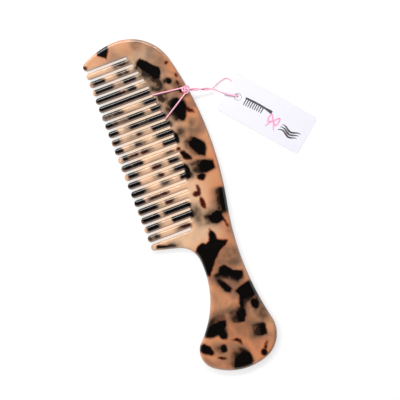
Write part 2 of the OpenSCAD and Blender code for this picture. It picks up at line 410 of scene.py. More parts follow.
@dataclass(frozen=True)
class Card:
    """Smooth white card stock with a faint blue cast, grey on its sides."""

    face: Colour = srgb(226, 225, 233)
    shade: Colour = srgb(221, 220, 229)
    # Grey of the card's sides
    cut: Colour = srgb(150, 150, 162)

    def material(self) -> bpy.types.Material:
        """Builds the finish.

        Returns:
            A material for the card, grey on its sides.
        """
        g = Graph("card_white")
        up = g.add("SeparateXYZ", {0: g.add("NewGeometry").outputs["Normal"]}).outputs[2]
        side = g.ramp(g.sum("ABSOLUTE", up, 0.0), 0.9, 0.4)
        fibre = g.noise(1500, 4, 0.65)
        colour = g.mix(g.ramp(fibre, 0.3, 0.75, 0, 0.6), self.face, self.shade)
        colour = g.mix(side, colour, self.cut)
        g.bump(fibre, 0.15, 0.00003)
        return g.finish(colour, Roughness=0.55, IOR=1.46)


@dataclass(frozen=True)
class Ink:
    """A printed flat colour with a slightly mottled lay-down."""

    name: str
    colour: Colour

    def material(self) -> bpy.types.Material:
        """Builds the finish.

        Returns:
            A material for one printed colour.
        """
        g = Graph(self.name)
        thin = tuple(min(1.0, c * 1.25 + 0.02) for c in self.colour[:3]) + (1.0,)
        colour = g.mix(g.ramp(g.noise(2200, 3), 0.35, 0.75), self.colour, thin)
        return g.finish(colour, Roughness=0.5, IOR=1.46)


@dataclass(frozen=True)
class Paper:
    """The pale base under the comb, softly lit from below like a light table.

    Painted light: between the teeth the paper's glow is tinted orange, standing in for light that
    comes through the sheet. The tinted patch stays inside the row of teeth; its places are in
    metres.
    """

    tone: Colour = (0.34, 0.34, 0.345, 1.0)
    mottle: float = 0.97
    glow: float = 0.66
    plain: Colour = (1.0, 1.0, 1.0, 1.0)
    # Glow colour of the painted light that comes through the teeth
    painted_through_glow: Colour = (1.22, 0.92, 0.66, 1.0)
    tips: tuple[float, float] = (-0.0245, -0.013)
    roots: tuple[float, float] = (0.0085, 0.0075)
    lowest: tuple[float, float] = (-0.016, -0.01)
    weaker: tuple[float, float] = (0.07, 0.05)
    highest: tuple[float, float] = (0.083, 0.0825)

    def material(self) -> bpy.types.Material:
        """Builds the finish.

        Returns:
            A matt, faintly mottled white, with painted light tinting its glow under the teeth.
        """
        g = Graph("floor_white")
        dim = tuple(self.mottle * c for c in self.tone[:3]) + (1.0,)
        colour = g.mix(g.ramp(g.noise(9, 3), 0.3, 0.7), self.tone, dim)
        x, y, _ = g.add("SeparateXYZ", {0: g.place()}).outputs
        # Painted light: an orange-tinted glow on the paper between the teeth
        painted_glow_patch = g.times(
            g.ramp(x, *self.tips),
            g.ramp(x, *self.roots),
            g.ramp(y, *self.lowest),
            g.ramp(y, *self.weaker, 0.5, 1),
            g.ramp(y, *self.highest),
        )
        return g.finish(
            colour,
            Roughness=0.9,
            IOR=1.3,
            Emission_Color=g.mix(painted_glow_patch, self.plain, self.painted_through_glow),
            Emission_Strength=self.glow,
        )


# Marbling --------------------------------------------------------------------
class Tone(Enum):
    """What a chip in the sheet is made of."""

    NIGHT = "night"
    EMBER = "ember"
    SMOKE = "smoke"


@dataclass(frozen=True)
class Chip:
    """One chip of dark acetate in the sheet, by its corners in millimetres.

    fade is the vector along which it fades into the sheet, and strength the
    greatest share of haze that a smoky chip gives.
    """

    corners: Corners
    tone: Tone = Tone.NIGHT
    fade: tuple[float, float] = (0.0, 0.0)
    strength: float = 0.84


def oval(
    x: float,
    y: float,
    wide: float,
    high: float,
    tone: Tone = Tone.NIGHT,
    fade: tuple[float, float] = (0.0, 0.0),
) -> Chip:
    """A small eight-sided chip.

    Args:
        x: Middle, across the comb.
        y: Middle, along the comb.
        wide: Width across the comb.
        high: Height along the comb.
        tone: What it is made of.
        fade: Vector along which it fades into the sheet.

    Returns:
        The chip.
    """
    a = np.deg2rad(22.5 + 45 * np.arange(8))
    corners = np.stack([x + 0.54 * wide * np.cos(a), y + 0.54 * high * np.sin(a)], axis=1)
    return Chip(tuple(map(tuple, corners)), tone, fade)


def cloud(
    x: float, y: float, wide: float, high: float, strength: float = Chip.strength
) -> Chip:
    """A smoky oval that gives at most the stated share of haze."""
    return replace(oval(x, y, wide, high, Tone.SMOKE), strength=strength)


HEAD_CHIPS = (
    Chip(((9.5, 181.5), (10, 185), (16, 185), (16, 182.5), (13.5, 178))),
    oval(1, 177, 2.2, 2.2),
    cloud(31, 180.5, 6, 4),
    cloud(30, 179, 6, 5, 0.6),
    Chip(
        (
            (27, 170.5), (29.5, 172), (31.5, 170.5), (33, 169), (36.5, 165),
            (38, 164), (37.5, 161), (36, 158.5), (33, 159), (31, 163), (28, 167),
        ),
        fade=(-2.5, -4.5),
    ),
    oval(34, 156.5, 5, 5, Tone.SMOKE, (-2, -2)),
    oval(42, 165, 1.6, 1.6, Tone.EMBER),
    oval(40, 155.5, 2.8, 3, fade=(-2, 0.5)),
    oval(44.5, 157, 1, 2, Tone.EMBER),
    oval(44, 153, 1.5, 3, Tone.EMBER),
    oval(44, 149, 1.8, 3.5),
    Chip(
        (
            (37.5, 145), (40.5, 146), (44, 143), (44, 138.5),
            (40.5, 133), (37.5, 135), (36, 139.5), (36, 143),
        ),
        fade=(-3, 0.5),
    ),
    Chip(((43, 140.5), (46.5, 137), (46.5, 135.5), (43, 137)), Tone.EMBER),
    oval(34, 148, 5, 5, Tone.SMOKE, (0, 2)),
    cloud(43.5, 130.5, 3.5, 5),
    Chip(
        ((38, 122), (42, 123.5), (46, 119), (46, 116), (44, 112), (41, 114), (38.5, 118.5)),
        fade=(-2.5, 1),
    ),
    Chip(((32, 119), (34.5, 118.5), (37.5, 113.5), (36.5, 112.5), (33, 114.5))),
    oval(32, 120.5, 1.8, 1.8, Tone.EMBER),
    oval(33, 126.5, 3, 6),
    Chip(
        ((39, 109.5), (42, 110.5), (47, 108.5), (46.5, 104.5), (41, 103.5), (38.5, 105.5)),
        fade=(-4.5, 1.5),
    ),
    Chip(((36, 104), (41, 104), (40.5, 102), (38.5, 100.5), (36, 102))),
    oval(31.5, 108.5, 4.5, 7.5),
    oval(33, 95, 4, 2.6, Tone.EMBER),
    Chip(((34, 99.5), (35, 99), (35, 95), (33.5, 94.5)), Tone.EMBER),
    oval(34, 89.5, 2.3, 6, Tone.EMBER),
    Chip(((44.5, 94), (48.5, 93), (46.5, 81), (42, 81.5), (42.5, 87)), fade=(-2.5, -1)),
    Chip(
        ((34, 82), (39.5, 83.5), (41.5, 82), (41.5, 77.5), (38, 76.5), (34.5, 78)),
        fade=(-3, 1),
    ),
    Chip(((41, 77.5), (42, 77), (42.5, 73), (41.5, 73.5)), Tone.EMBER),
    cloud(29.5, 84.5, 6, 12),
    cloud(34.5, 151, 9, 15),
    cloud(36, 128, 8, 8),
    cloud(38, 108, 9, 9),
    cloud(43, 152, 5, 9),
    cloud(24, 174, 22, 12, 0.34),
    cloud(37, 168, 11, 18, 0.6),
    cloud(31, 160, 9, 16, 0.72),
    cloud(36, 142, 13, 18, 0.7),
    cloud(14, 163, 14, 7, 0.6),
    cloud(18, 155, 10, 9, 0.62),
    cloud(22, 141, 14, 12, 0.62),
    cloud(12, 132, 10, 12, 0.45),
    cloud(42, 126, 9, 8, 0.6),
)

HANDLE_CHIPS = (
    Chip(
        (
            (21, 66), (23.5, 69), (26.5, 70), (28, 68.5), (30, 69.5), (31, 72.5),
            (32.5, 75.5), (34, 73), (34.5, 69), (37, 67.5), (39.5, 66.5), (38, 65),
            (34, 63), (30, 59.5), (24, 52), (22, 53), (20.5, 60),
        ),
    ),
    Chip(
        (
            (26.5, 52), (29, 52.5), (30.5, 55), (33.5, 55), (36.5, 51), (41, 49),
            (40.5, 46.5), (37, 45), (34, 48), (30.5, 50), (27, 51),
        ),
        fade=(-1, -1.5),
    ),
    Chip(((27, 48.5), (30, 47), (32.5, 42), (31, 40.5), (29, 41.5), (27.5, 45)), fade=(-1, 2)),
    oval(28.5, 64, 2, 3, Tone.EMBER),
    cloud(38, 58, 12, 13, 0.7),
    cloud(36, 47, 7, 6),
    Chip(
        (
            (33.5, 40.5), (38, 42), (42, 43), (45.5, 40), (45, 36), (41, 34),
            (36.5, 34.5), (35, 31), (33.5, 29.5), (33.5, 33.5), (35, 37.5),
        ),
        fade=(1, -2),
    ),
    oval(41, 30.5, 4, 5.5, fade=(1, 2)),
    cloud(43, 28, 10, 17, 0.8),
    cloud(17, 30, 9, 6),
    cloud(34, 58, 11, 12, 0.55),
    cloud(33, 22, 16, 14, 0.5),
    cloud(19, 12, 12, 9, 0.5),
    Chip(((30, 29.5), (35, 31), (35, 27), (32.5, 23.5), (29.5, 24)), fade=(-3.5, 1.5)),
    Chip(
        (
            (10.5, 23), (11.5, 27), (14.5, 27.5), (17.5, 28), (20.5, 28.5), (23.5, 27.5),
            (23, 24.5), (21, 23), (22, 20), (20.5, 18), (18, 19.5), (17.5, 21.5), (12.5, 21.5),
        ),
        fade=(0.5, 3.5),
    ),
    Chip(((5.5, 19.5), (8.5, 20), (11, 17.5), (12, 13.5), (10.5, 12.5), (7, 15), (5, 17))),
    oval(17.5, 14, 3.5, 4, fade=(-2.5, 0.5)),
    Chip(((13, 10.5), (14, 10.8), (16.8, 9), (16.5, 8.3), (14.5, 9))),
    Chip(((23, 16.7), (26, 17), (27.7, 15), (27, 13), (26.2, 14.5), (25, 15.7))),
    Chip(((39, 19.5), (42.5, 19.5), (41.5, 13.5), (38, 13.5)), fade=(-4, 1)),
    Chip(
        ((19, 3), (21, 7.5), (26.5, 9.5), (29.5, 7.5), (30, 3), (27, -0.5), (20, -0.5)),
        fade=(-1.5, 3),
    ),
    oval(36.5, 5, 3.2, 3.4),
    Chip(((37, 6), (38.5, 9), (40, 9.7), (39.5, 8.5), (38.5, 6.5))),
)

# For each tone: tooth counted from the handle, start and end along it, and
# half its height where it doesn't cover the tooth
TOOTH_CHIPS = {
    Tone.NIGHT: (
        (18, 3, 8.5, 2), (17, 2, 11, 2), (17, 17.5, 23, 2), (16, 0.5, 14.5, 2),
        (16, 18.5, 22.5, 2), (15, 0.5, 28, 2), (14, 24, 30, 2), (13, 0.5, 4, 2),
        (13, 13, 21, 1.6), (13, 26, 30.5, 2), (12, 1, 5.5, 2), (12, 13, 17, 2), (12, 23, 32, 2),
        (11, 1, 3.5, 1.3), (11, 23, 32.5, 2), (10, 1, 4.5, 2), (10, 25, 32.5, 2), (9, 3, 5.5, 2),
        (9, 25.5, 33, 2), (8, 2, 6, 2), (8, 7, 12, 2), (7, 2.5, 6.5, 2), (7, 25, 29.5, 1.5),
        (6, 1, 7, 2), (6, 27.5, 32, 2), (5, 0.5, 7, 2), (5, 28, 33, 2), (4, 0.5, 6, 2),
        (3, 1, 10, 2), (2, 1.5, 10.5, 2), (2, 14, 27.5, 2), (1, 2, 7.5, 2), (1, 16, 27, 2),
    ),
    Tone.EMBER: (
        (16, 14, 17, 0.8), (11, 14, 16, 0.7), (9, 6, 11, 0.6), (9, 13, 16.5, 1.1),
        (8, 26, 29, 0.4), (7, 15.5, 19.5, 1.2), (6, 18, 20, 1.1), (4, 9.5, 19, 0.6),
        (3, 16, 19, 1.1), (0, 19, 24, 1),
    ),
    Tone.SMOKE: (
        (19, 15, 22, 2), (18, 17, 22, 2), (14, 2, 12, 2), (13, 4, 13, 2), (12, 17, 24, 2),
        (10, 13, 17, 1.5), (5, 17, 20, 1.2), (0, 2, 7, 2),
    ),
}


def polygon_distance(points: Array, corners: Array) -> Array:
    """Signed distance from points to a polygon.

    The size is the least distance to any side. It is negative where a line
    drawn towards +x from the point crosses an odd number of sides.

    Args:
        points: Points in the plane, one row each.
        corners: Corners of the polygon, one row each.

    Returns:
        One distance for each point, in millimetres.
    """
    start, end = corners, np.roll(corners, -1, axis=0)
    side = end - start
    offset = points[:, None] - start[None]
    share = np.clip((offset * side).sum(-1) / (side * side).sum(-1), 0, 1)
    least = np.linalg.norm(offset - share[..., None] * side, axis=-1).min(axis=1)
    y = points[:, None, 1]
    spans = (start[:, 1] > y) != (end[:, 1] > y)
    rise = np.where(side[:, 1] == 0, 1e-9, side[:, 1])
    reached = start[:, 0] + (y - start[:, 1]) / rise * side[:, 0]
    inside = (spans & (points[:, None, 0] < reached)).sum(axis=1) % 2 == 1
    return np.where(inside, -least, least)


@dataclass
class Marbling:
    """The chips in the sheet, and how far each point is from them.

    A fading chip is blurred in steps: how far along its fade, weight, width.
    """

    chips: tuple[Chip, ...]
    reach: float = 9.0
    soft: float = 3.0
    blur: tuple[tuple[float, float, float], ...] = (
        (0.2, 1.0, 1.8), (0.5, 1.0, 2.4), (0.85, 0.9, 3.0), (1.25, 0.66, 3.8),
    )

    def values(self, points: Array) -> dict[str, Array]:
        """Works out the marbling at points of the sheet.

        Haze is the most that any chip gives: a share times 1 - smooth step of
        the distance, from a smoky chip or from a chip moved along its fade.

        Args:
            points: Points in the plane, in comb millimetres.

        Returns:
            The chip distance, haze and ember values of each point.
        """
        chip = np.full(len(points), self.reach)
        ember = np.zeros(len(points))
        haze = np.zeros(len(points))
        for each in self.chips:
            corners = np.array(each.corners, float)
            low, high = corners.min(0) - self.reach, corners.max(0) + self.reach
            near = np.flatnonzero(((points > low) & (points < high)).all(axis=1))
            spot = points[near]
            away = polygon_distance(spot, corners)
            if each.tone is Tone.SMOKE:
                share = each.strength * (1 - ease(-self.soft, self.soft, away))
                haze[near] = np.maximum(haze[near], share)
            else:
                closer = away < chip[near]
                ember[near] = np.where(closer, each.tone is Tone.EMBER, ember[near])
                chip[near] = np.minimum(chip[near], away)
            if any(each.fade):
                for along, weight, width in self.blur:
                    moved = polygon_distance(spot - along * np.array(each.fade), corners)
                    share = weight * (1 - ease(-0.3 * width, width, moved))
                    haze[near] = np.maximum(haze[near], share)
        return {"chip": chip, "haze": haze, "ember": ember}


# Comb ------------------------------------------------------------------------
@dataclass
class Boundary:
    """The comb's edge in plan: points, inward directions and rounding widths."""

    points: Array
    inward: Array
    width: Array


@dataclass(frozen=True)
class Bend:
    """A round stretch of the edge: part of a circle that the sheet is inside or outside."""

    x: float
    y: float
    r: float
    solid: bool = True

    @property
    def centre(self) -> Array:
        """Middle of the circle."""
        return np.array([self.x, self.y])

    def towards(self, other: "Bend") -> float:
        """Direction from the centre to where the two circles touch.

        They touch between their centres, unless the sheet is inside both or
        outside both: then they touch on the line from the larger one's
        centre through the smaller one's.

        Args:
            other: The other circle.

        Returns:
            The direction in degrees.
        """
        if self.solid == other.solid and self.r < other.r:
            return heading(other.centre, self.centre)
        return heading(self.centre, other.centre)

    def inner(self, x: float, r: float) -> "Bend":
        """The circle at x of radius r that touches this one inside, below its centre."""
        return Bend(x, self.y - math.sqrt((self.r - r) ** 2 - (x - self.x) ** 2), r, self.solid)

    def joined(self, other: "Bend", r: float, solid: bool, side: int) -> "Bend":
        """The circle of radius r that touches this one and another.

        Where two circles have the sheet on the same side, one lies in the
        other; else they lie side by side.

        Args:
            other: The other circle.
            r: Its radius.
            solid: Whether the sheet is inside it.
            side: 1 if it is on the left of the line to the other, -1 on the right.

        Returns:
            The new circle.
        """
        ra, rb = (abs(each.r - r) if each.solid == solid else each.r + r for each in (self, other))
        gap = float(np.linalg.norm(other.centre - self.centre))
        along = (ra * ra - rb * rb + gap * gap) / (2 * gap)
        across = side * math.sqrt(ra * ra - along * along)
        e = (other.centre - self.centre) / gap
        return Bend(*(self.centre + along * e + across * np.array([-e[1], e[0]])), r, solid)


@dataclass
class CombPlan:
    """The comb seen from above, made of arcs that touch and straight lines."""

    comb_length: float = 185.0
    head_width: float = 50.0
    back_r: float = 180.0
    nose_r: float = 43.0
    shoulder_r: float = 24.6
    belly_drop: float = 4.7
    crown_x: float = 22.0
    bulb_right: float = 47.3
    bulb_left: float = 4.5
    bulb_shift: float = 0.6
    end_r: float = 30.0
    heel_r: float = 16.0
    toe_r: float = 10.0
    neck_left: float = 22.3
    throat_r: float = 50.0
    notch_r: float = 11.8
    notch_drop: float = 18.0
    waist_r: float = 150.0
    tooth_count: int = 20
    slot_pitch: float = 4.8
    pitch_ease: float = 0.01
    slot_w: float = 1.2
    crown_to_slot: float = 10.2
    slot_depth: float = 32.2
    root_r: float = 136.0
    lower_r: float = 1.7
    step: float = 0.8
    turn_step: float = 16.0  # degrees
    tooth_round: float = 1.5
    edge_round: float = 1.9

    def slot_y(self, i: float) -> float:
        """Middle of slot i, counted from the handle."""
        first = self.comb_length - self.crown_to_slot - self.slot_pitch * self.tooth_count
        return first + self.slot_pitch * i + self.pitch_ease * i * (self.tooth_count - i)

    def tooth_y(self, k: int) -> float:
        """Middle of tooth k, counted from the handle."""
        return (self.slot_y(k) + self.slot_y(k + 1)) / 2

    @property
    def row_y(self) -> float:
        """Middle of the row of teeth."""
        return (self.slot_y(0) + self.slot_y(self.tooth_count)) / 2

    @property
    def row_top(self) -> float:
        """Upper side of the last slot."""
        return self.slot_y(self.tooth_count) + self.slot_w / 2

    @property
    def row_low(self) -> float:
        """Lower side of the first slot."""
        return self.slot_y(0) - self.slot_w / 2

    @property
    def upper_r(self) -> float:
        """Radius r of the nose guard's tip, a circle at (r, row_top + r).

        It touches the nose's circle inside, so with lift from the nose's
        centre to row_top, (crown_x - r)^2 + (lift + r)^2 = (nose_r - r)^2.
        """
        lift = self.row_top - (self.comb_length - self.nose_r)
        b = 2 * (lift - self.crown_x + self.nose_r)
        k = self.crown_x**2 + lift**2 - self.nose_r**2
        return (-b + math.sqrt(b * b - 4 * k)) / 2

    def tip_r(self, k: int) -> float:
        """Radius of the tip above slot k: a tooth's, or a guard's at either end."""
        if k < 0:
            return self.lower_r
        if k == self.tooth_count:
            return self.upper_r
        return (self.slot_y(k + 1) - self.slot_y(k) - self.slot_w) / 2

    def slot_end(self, i: int) -> float:
        """Where slot i ends: on a circle of radius root_r."""
        drop = self.slot_y(i) - self.row_y
        return self.slot_depth - self.root_r + math.sqrt(self.root_r**2 - drop**2)

    def arc(self, bend: Bend, a0: float, a1: float) -> tuple[Array, Array]:
        """Points on an arc without its last one, and their inward directions.

        It runs counter-clockwise where the sheet is inside, else clockwise.

        Args:
            bend: The circle that it is part of.
            a0: First angle in degrees.
            a1: Last angle in degrees.

        Returns:
            The points and the unit vectors into the sheet.
        """
        swept = (a1 - a0) % 360 if bend.solid else -((a0 - a1) % 360)
        length = math.radians(abs(swept)) * bend.r
        count = max(math.ceil(length / self.step), math.ceil(abs(swept) / self.turn_step), 2)
        a = np.deg2rad(np.linspace(a0, a0 + swept, count, endpoint=False))
        radial = np.stack([np.cos(a), np.sin(a)], axis=1)
        return bend.centre + bend.r * radial, -radial if bend.solid else radial

    def chain(self, *bends: Bend) -> list[tuple[Array, Array]]:
        """Arcs of circles that touch in turn, without the first circle's and the last's."""
        return [
            self.arc(bend, bend.towards(before), bend.towards(after))
            for before, bend, after in zip(bends, bends[1:], bends[2:])
        ]

    def line(self, start: Array, end: Array) -> tuple[Array, Array]:
        """Points on a line without its last one, and their inward directions."""
        length = float(np.linalg.norm(end - start))
        t = np.linspace(0, 1, max(math.ceil(length / self.step), 2), endpoint=False)[:, None]
        e = (end - start) / length
        return start + t * (end - start), np.tile([-e[1], e[0]], (len(t), 1))

    def slot_path(self, i: int) -> list[tuple[Array, Array]]:
        """Slot i from its upper side round its end and out again, then a tooth tip.

        Args:
            i: Number of the slot, counted from the handle.

        Returns:
            Its stretches in order; the lowest slot has no tip after it.
        """
        y, r = self.slot_y(i), self.slot_w / 2
        above, below = self.tip_r(i), self.tip_r(i - 1)
        end = Bend(self.slot_end(i) - r, y, r, solid=False)
        parts = [
            self.line(np.array([above, y + r]), end.centre + [0, r]),
            self.arc(end, 90, -90),
            self.line(end.centre - [0, r], np.array([below, y - r])),
        ]
        if i > 0:
            parts.append(self.arc(Bend(below, y - r - below, below), 90, 270))
        return parts

    def boundary(self) -> Boundary:
        """Works out the whole edge, counter-clockwise.

        Returns:
            Closed edge, with wide rounding on the outer contour and narrow
            rounding on the teeth.
        """
        top, low = self.row_top, self.row_low
        back = Bend(self.head_width - self.back_r, self.row_y - self.belly_drop, self.back_r)
        nose = Bend(self.crown_x, self.comb_length - self.nose_r, self.nose_r)
        bulb_x = (self.bulb_left + self.bulb_right) / 2 + self.bulb_shift
        end = Bend(bulb_x, self.end_r, self.end_r)
        heel = end.inner(self.bulb_right - self.heel_r, self.heel_r)
        toe = end.inner(self.bulb_left + self.toe_r, self.toe_r)
        shoulder = back.joined(nose, self.shoulder_r, True, 1)
        waist = heel.joined(back, self.waist_r, False, -1)
        upper = Bend(self.upper_r, top + self.upper_r, self.upper_r)
        lower = Bend(self.lower_r, low - self.lower_r, self.lower_r)
        notch = Bend(self.neck_left - self.notch_r, low - self.notch_drop, self.notch_r, False)
        throat = toe.joined(notch, self.throat_r, False, 1)
        gap = float(np.linalg.norm(notch.centre - lower.centre))
        spread = math.degrees(math.asin((lower.r + notch.r) / gap))
        slant = heading(lower.centre, notch.centre) + spread
        touch = math.radians(slant - 90)
        toward = np.array([math.cos(touch), math.sin(touch)])
        parts = self.chain(toe, end, heel, waist, back, shoulder, nose, upper)
        parts.append(self.arc(upper, upper.towards(nose), 270))
        for i in range(self.tooth_count, -1, -1):
            parts += self.slot_path(i)
        parts += [
            self.arc(lower, 90, slant - 90),
            self.line(lower.centre + lower.r * toward, notch.centre - notch.r * toward),
            self.arc(notch, slant + 90, notch.towards(throat)),
            *self.chain(notch, throat, toe, end),
        ]
        points = np.concatenate([p for p, _ in parts])
        inward = np.concatenate([n for _, n in parts])
        # The rounding widens away from the tips and below the heel, never on a tooth
        x, y = points[:, 0], points[:, 1]
        toothed = (x < self.slot_depth + 0.5) & (y > low - 0.1) & (y < top + 0.1)
        outer = np.maximum(ease(4, 16, x), ease(72, 60, y)) * ~toothed
        width = self.tooth_round + (self.edge_round - self.tooth_round) * outer
        return Boundary(points, inward, width)


@dataclass
class Comb:
    """The comb: one seamless sheet with rounded edges and ground teeth."""

    plan: CombPlan = field(default_factory=CombPlan)
    sheet_t: float = 4.6
    root_t: float = 2.8
    tip_t: float = 2.3
    root_x: float = 31.2
    grind_w: float = 11.0
    runout: float = 13.0
    run_y: float = 65.1
    spacing: float = 0.85
    squareness: float = 2.1
    turns: tuple[float, ...] = (0, 11, 23, 35, 48, 61, 75, 90)
    blocks: int = 40
    below_shift: tuple[float, float] = (0.7, -0.5)
    below_shrink: float = 0.2
    # Shares of painted shade along the teeth's upper edges and the back's outer edge
    tooth_edge_shade: float = 0.2
    back_edge_shade: float = 0.5
    # Share of painted light coming through thin sheet, and how much of it is lost past the last slot
    pale: float = 0.62
    pale_lost: float = 0.5
    nodes: tuple[str, ...] = ("spine", "nose_guard", "heel_guard", "teeth", "handle")

    def half_thickness(self, points: Array) -> Array:
        """Half the thickness of the sheet at points of the plan.

        The grinding takes root_cut at the roots, growing in a straight line
        to tip_cut at the tips and falling to nothing over grind_w towards the
        back; towards the handle it runs out over runout.

        Args:
            points: Points in the plane, one row each.

        Returns:
            Half thickness in millimetres, with the slopes' corners rounded.
        """
        x, y = points[:, 0], points[:, 1]
        root_cut, tip_cut = (self.sheet_t - self.root_t) / 2, (self.sheet_t - self.tip_t) / 2
        taper = root_cut + (tip_cut - root_cut) * (self.root_x - x) / self.root_x
        slope = root_cut * (self.root_x + self.grind_w - x) / self.grind_w
        fade = (tip_cut + 0.4) * (y - self.run_y) / self.runout
        cut = soft_min(soft_min(taper, slope, 0.3), fade, 0.5)
        return self.sheet_t / 2 + soft_min(-cut, np.zeros_like(cut), 0.15)

    def inside(self, points: Array, ring: Array, margin: float) -> Array:
        """Whether each point lies inside the ring by more than a margin, block by block."""
        blocks = np.array_split(points, self.blocks)
        return np.concatenate([polygon_distance(b, ring) for b in blocks]) < -margin

    def inner_points(self, ring: Array) -> Array:
        """Evenly spaced points inside a ring, clear of its line.

        Args:
            ring: Closed line, one point in a row.

        Returns:
            The points of a square grid that are well inside.
        """
        low, high = ring.min(0), ring.max(0)
        x, y = np.meshgrid(
            np.arange(low[0], high[0], self.spacing), np.arange(low[1], high[1], self.spacing)
        )
        grid = np.stack([x.ravel(), y.ravel()], axis=1)
        return grid[self.inside(grid, ring, 0.4 * self.spacing)]

    def filling(self, ring: Array, inner: Array) -> Array:
        """Triangles between a ring and the points inside it.

        Args:
            ring: Closed line, counter-clockwise.
            inner: Points inside it.

        Returns:
            Three numbers for each triangle, counted through the ring and then
            the inner points.
        """
        plane = np.concatenate([ring, inner])
        loop = np.arange(len(ring))
        sides = np.stack([loop, np.roll(loop, -1)], axis=1)
        made = geometry.delaunay_2d_cdt(plane.tolist(), sides.tolist(), [], 0, 1e-7, False)
        if len(made[0]) != len(plane):
            raise RuntimeError("the filling of the comb's face added or merged points")
        fill = np.array(made[2])
        return fill[self.inside(plane[fill].mean(axis=1), ring, 0.0)]

    def build(self) -> bpy.types.Object:
        """Builds the comb's mesh.

        Rings follow the edge inwards: at turn a, a ring lies in by
        width * (1 - cos(a)^(2/q)) and up or down by half thickness *
        sin(a)^(2/q), where q is the squareness. Triangles fill both faces.

        Returns:
            The comb, riding on its body.
        """
        edge = self.plan.boundary()
        count = len(edge.points)
        power = 2 / self.squareness
        turn = np.deg2rad(self.turns)
        inset = 1 - np.cos(turn) ** power
        inset[-1] = 1.0
        rise = np.sin(turn) ** power
        rings = edge.points + inset[:, None, None] * edge.inward * edge.width[:, None]
        flat = rings.reshape(-1, 2)
        height = self.half_thickness(flat).reshape(len(turn), count) * rise[:, None]
        inner = self.inner_points(rings[-1])
        fill = self.filling(rings[-1], inner)
        middle = self.sheet_t / 2
        top = np.concatenate([height.ravel(), self.half_thickness(inner)])
        both = np.concatenate([flat, inner])
        lower = slice(count, None)
        points = np.concatenate(
            [
                np.column_stack([both, middle + top]),
                np.column_stack([both[lower], middle - top[lower]]),
            ]
        )
        upper_total = len(both)
        bands = grid_faces(len(turn), count)
        fill_up = fill + count * (len(turn) - 1)
        under = np.arange(upper_total)
        under[lower] += upper_total - count
        faces = bands.tolist() + fill_up.tolist()
        faces += under[bands[:, ::-1]].tolist() + under[fill_up[:, ::-1]].tolist()
        rim = np.concatenate([np.repeat(1 - inset, count), np.zeros(len(inner))])
        outward = np.concatenate([np.tile(-edge.inward, (len(turn), 1)), np.zeros_like(inner)])
        values = self.marbled(both, rim, outward, lower)
        comb = new_piece("comb", points, faces, values)
        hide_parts(*self.nodes)
        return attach(comb, "comb")

    def marbled(
        self, both: Array, rim: Array, outward: Array, lower: slice
    ) -> dict[str, Array]:
        """Marbling of the two faces; a chip shows a little displaced below.

        Painted shade, given as haze, darkens the upper edge of each tooth and the outer edge of the
        back: its share is tooth_edge_shade or back_edge_shade * smooth step of the closeness to the
        edge * the part of the outward direction that faces that way. A painted highlight of light
        coming through lights the lower edges of the teeth in the same way. Thin sheet is paler with
        painted light coming through it, and least so past the last slot.

        Args:
            both: Plan of the points of the upper face.
            rim: Closeness to the edge, 1 at the edge.
            outward: Unit direction out of the sheet at the nearest edge.
            lower: Which of them the lower face has of its own.

        Returns:
            The values of every point, upper face first.
        """
        row = tuple(
            self.tooth_chip(*each, tone) for tone, chips in TOOTH_CHIPS.items() for each in chips
        )
        marbling = Marbling(HEAD_CHIPS + HANDLE_CHIPS + row + self.guard_chips())
        above = marbling.values(both)
        below = marbling.values(both[lower] + self.below_shift)
        below["chip"] = below["chip"] + self.below_shrink
        toothed = both[:, 0] < self.root_x + 1.5
        # Painted shade along the teeth's upper edges and the back's outer edge, added to the haze
        tooth_rim_shade = self.tooth_edge_shade * np.clip(outward[:, 1], 0, 1) * ease(0.3, 0.85, rim)
        back_rim_shade = self.back_edge_shade * np.clip(outward[:, 0], 0, 1) * ease(0.2, 1.0, rim)
        line = np.where(toothed, tooth_rim_shade, back_rim_shade)
        for side, share in ((above, line), (below, line[lower])):
            side["haze"] = np.maximum(side["haze"], share)
        values = {key: np.concatenate([above[key], below[key]]) for key in above}
        # Painted highlight: light coming through the teeth's lower edges
        through = np.clip(-outward[:, 1], 0, 1) * ease(0.2, 1.0, rim) * toothed
        values["through"] = np.concatenate([through, through[lower]])
        values["edge"] = np.concatenate([rim, rim[lower]])
        # Painted light coming through the sheet where it is ground thin
        last = self.plan.slot_y(self.plan.tooth_count)
        pale = self.pale - self.pale_lost * ease(-3, 4, both[:, 1] - last)
        thin = pale * (1 - ease(1.35, 2.3, self.half_thickness(both)))
        values["thin"] = np.concatenate([thin, thin[lower]])
        return values

    def tooth_chip(self, k: int, x0: float, x1: float, half: float, tone: Tone) -> Chip:
        """A chip on a tooth, with slanting ends.

        Args:
            k: Number of the tooth, counted from the handle.
            x0: Where it starts, from the tip.
            x1: Where it ends.
            half: Half its height.
            tone: What it is made of.

        Returns:
            The chip, which fades inwards on odd teeth and outwards on even ones.
        """
        y = self.plan.tooth_y(k)
        corners = (
            (x0, y - 0.5 * half), (x0 + 0.8, y - half), (x1 - 0.3, y - half),
            (x1 + 0.4, y), (x1 - 1.2, y + half), (x0 - 0.2, y + half),
        )
        return Chip(corners, tone, (1.6, 0.4) if k % 2 else (-1.6, -0.4))

    def guard_chips(self) -> tuple[Chip, ...]:
        """Chips on the guard below the row of teeth."""
        return (
            Chip(((3.5, 77), (9, 75), (9.5, 73.5), (7, 73.5), (3, 75.5))),
            oval(9.5, 74, 4, 2.5, Tone.SMOKE, (2, -1)),
        )

    def dress(self, piece: bpy.types.Object, finish: Acetate) -> None:
        """Gives the comb its finish."""
        piece.data.materials.append(finish.material())


